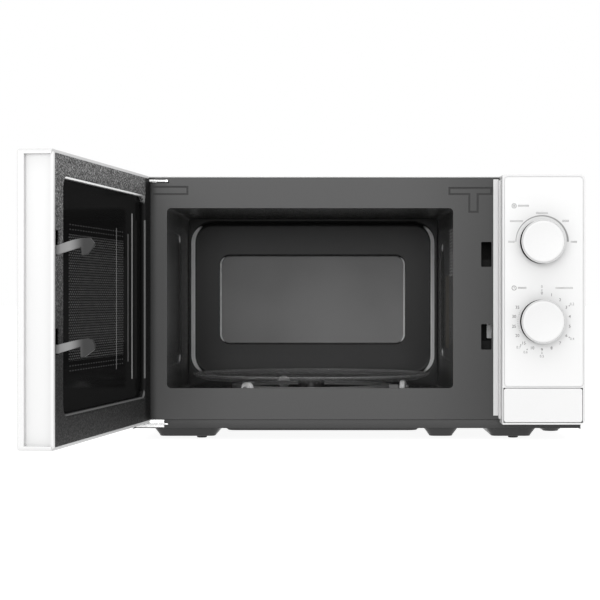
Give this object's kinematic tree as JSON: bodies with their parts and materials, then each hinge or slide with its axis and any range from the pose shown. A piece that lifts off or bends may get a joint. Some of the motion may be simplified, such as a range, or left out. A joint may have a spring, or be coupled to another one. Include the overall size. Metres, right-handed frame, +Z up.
{
  "type": "microwave oven",
  "caption": "Compact countertop microwave oven with an open side-hinged door, dial controls, a push-button door release and a glass turntable on a roller ring.",
  "frame": {"origin": "on the worktop, midway between the cabinet's sides, midway between panel face and rear", "axes": "+Z up, +X to the viewer's right when facing the front, +Y towards the rear"},
  "size_m": [0.4954, 0.6869, 0.259],
  "materials": {
    "cabinet_paint": "satin white powder coat",
    "white_plastic": "satin moulded white",
    "knob_plastic": "fine matt white",
    "chrome_trim": "bright plated",
    "cavity_enamel": "semi-gloss grey enamel",
    "zinc_sheet": "galvanised sheet",
    "hinge_steel": "zinc plated",
    "black_rubber": "matt",
    "mica": "mica sheet",
    "motor_case": "pressed",
    "steel_parts": "bright",
    "core_steel": "varnished laminations",
    "coil_copper": "enamelled winding",
    "inner_plastic": "natural moulded",
    "ring_plastic": "grey moulded",
    "black_plastic": "fine grain",
    "door_grain": "speckled grain",
    "tray_glass": "pressed clear glass",
    "lamp_glass": "clear bulb",
    "door_glass": "smoked"
  },
  "bodies": {
    "oven": {"outer_cabinet": "cabinet_paint", "rear_panel": "zinc_sheet", "base_plate": "cavity_enamel", "feet": "black_rubber", "cabinet_screws": "hinge_steel", "front_frame": "cavity_enamel", "cavity_shell": "cavity_enamel", "cavity_back": "cavity_enamel", "waveguide_cover": "mica", "turntable_motor": "motor_case", "waveguide": "zinc_sheet", "magnetron_body": "zinc_sheet", "magnetron_fins": "motor_case", "transformer_core": "core_steel", "transformer_coils": "coil_copper", "capacitor": "motor_case", "capacitor_clamp": "zinc_sheet", "high_voltage_diode": "black_plastic", "fan_shroud": "zinc_sheet", "fan_motor": "motor_case", "lamp_holder": "inner_plastic", "cavity_lamp": "lamp_glass", "air_duct": "inner_plastic", "thermal_cutout": "motor_case", "filter_board": "black_plastic", "cord_inlet": "black_rubber", "control_panel": "white_plastic", "panel_fascia": "white_plastic", "timer_mechanism": "inner_plastic", "timer_bell": "steel_parts", "power_selector": "inner_plastic", "latch_board": "black_plastic", "interlock_plunger": "inner_plastic", "door_switches": "black_plastic", "upper_hinge": "hinge_steel", "lower_hinge": "hinge_steel"},
    "door": {"door_frame": "white_plastic", "hinge_bushes": "inner_plastic", "door_window": "door_glass", "door_choke": "zinc_sheet", "door_cover": "door_grain", "door_film": "door_glass", "latch_spring": "steel_parts"},
    "latch": {"latch_hooks": "ring_plastic"},
    "button": {"release_button": "white_plastic"},
    "lever": {"release_lever": "inner_plastic"},
    "power_dial": {"power_knob": "knob_plastic", "power_knob_ring": "chrome_trim", "power_shaft": "steel_parts"},
    "timer_dial": {"timer_knob": "knob_plastic", "timer_knob_ring": "chrome_trim", "timer_shaft": "steel_parts"},
    "turntable": {"turntable_tray": "tray_glass", "turntable_coupler": "ring_plastic"},
    "ring": {"roller_ring": "ring_plastic"},
    "wheel_1": {"roller_1": "inner_plastic"},
    "wheel_2": {"roller_2": "inner_plastic"},
    "wheel_3": {"roller_3": "inner_plastic"},
    "fan": {"fan_impeller": "inner_plastic"}
  },
  "joints": [
    {"name": "door_hinge", "type": "hinge", "parent": "oven", "child": "door", "pos_m": [-0.212, -0.1575, 0.13], "axis": [0, 0, 1], "range_deg": [-3, 97]},
    {"name": "latch_slide", "type": "slide", "parent": "door", "child": "latch", "axis": [0, 0, 1], "range_m": [0, 0.006], "stiffness_N_per_m": 60, "springref_m": -0.004, "deforming": ["latch_spring"]},
    {"name": "button_push", "type": "slide", "parent": "oven", "child": "button", "axis": [0, 1, 0], "range_m": [0, 0.007], "stiffness_N_per_m": 250, "springref_m": -0.004},
    {"name": "lever_tilt", "type": "hinge", "parent": "oven", "child": "lever", "pos_m": [0.126, -0.137, 0.075], "axis": [1, 0, 0], "range_deg": [0, 12.16]},
    {"name": "power_turn", "type": "hinge", "parent": "oven", "child": "power_dial", "pos_m": [0.178, -0.18, 0.194], "axis": [0, 1, 0], "range_deg": [0, 180]},
    {"name": "timer_turn", "type": "hinge", "parent": "oven", "child": "timer_dial", "pos_m": [0.178, -0.18, 0.117], "axis": [0, 1, 0], "range_deg": [0, 300]},
    {"name": "turntable_spin", "type": "hinge", "parent": "oven", "child": "turntable", "pos_m": [-0.0465, 0.0025, 0.054], "axis": [0, 0, 1], "continuous": true},
    {"name": "ring_spin", "type": "hinge", "parent": "oven", "child": "ring", "pos_m": [-0.0465, 0.0025, 0.04705], "axis": [0, 0, 1], "continuous": true},
    {"name": "fan_spin", "type": "hinge", "parent": "oven", "child": "fan", "pos_m": [0.156, 0.15, 0.172], "axis": [0, 1, 0], "continuous": true},
    {"name": "wheel_1_spin", "type": "hinge", "parent": "ring", "child": "wheel_1", "pos_m": [-0.11079, -0.07146, 0.04705], "axis": [-0.6561, -0.7547, 0], "continuous": true},
    {"name": "wheel_2_spin", "type": "hinge", "parent": "ring", "child": "wheel_2", "pos_m": [0.0497, -0.0162, 0.04705], "axis": [0.9816, -0.1908, 0], "continuous": true},
    {"name": "wheel_3_spin", "type": "hinge", "parent": "ring", "child": "wheel_3", "pos_m": [-0.07841, 0.09516, 0.04705], "axis": [-0.3256, 0.9455, 0], "continuous": true}
  ],
  "couplings": [
    {"joint": "lever_tilt", "follows": "button_push", "rad_per_m": 30.303},
    {"joint": "ring_spin", "follows": "turntable_spin", "ratio": 0.5},
    {"joint": "wheel_1_spin", "follows": "turntable_spin", "ratio": -7.3134},
    {"joint": "wheel_2_spin", "follows": "turntable_spin", "ratio": -7.3134},
    {"joint": "wheel_3_spin", "follows": "turntable_spin", "ratio": -7.3134}
  ]
}
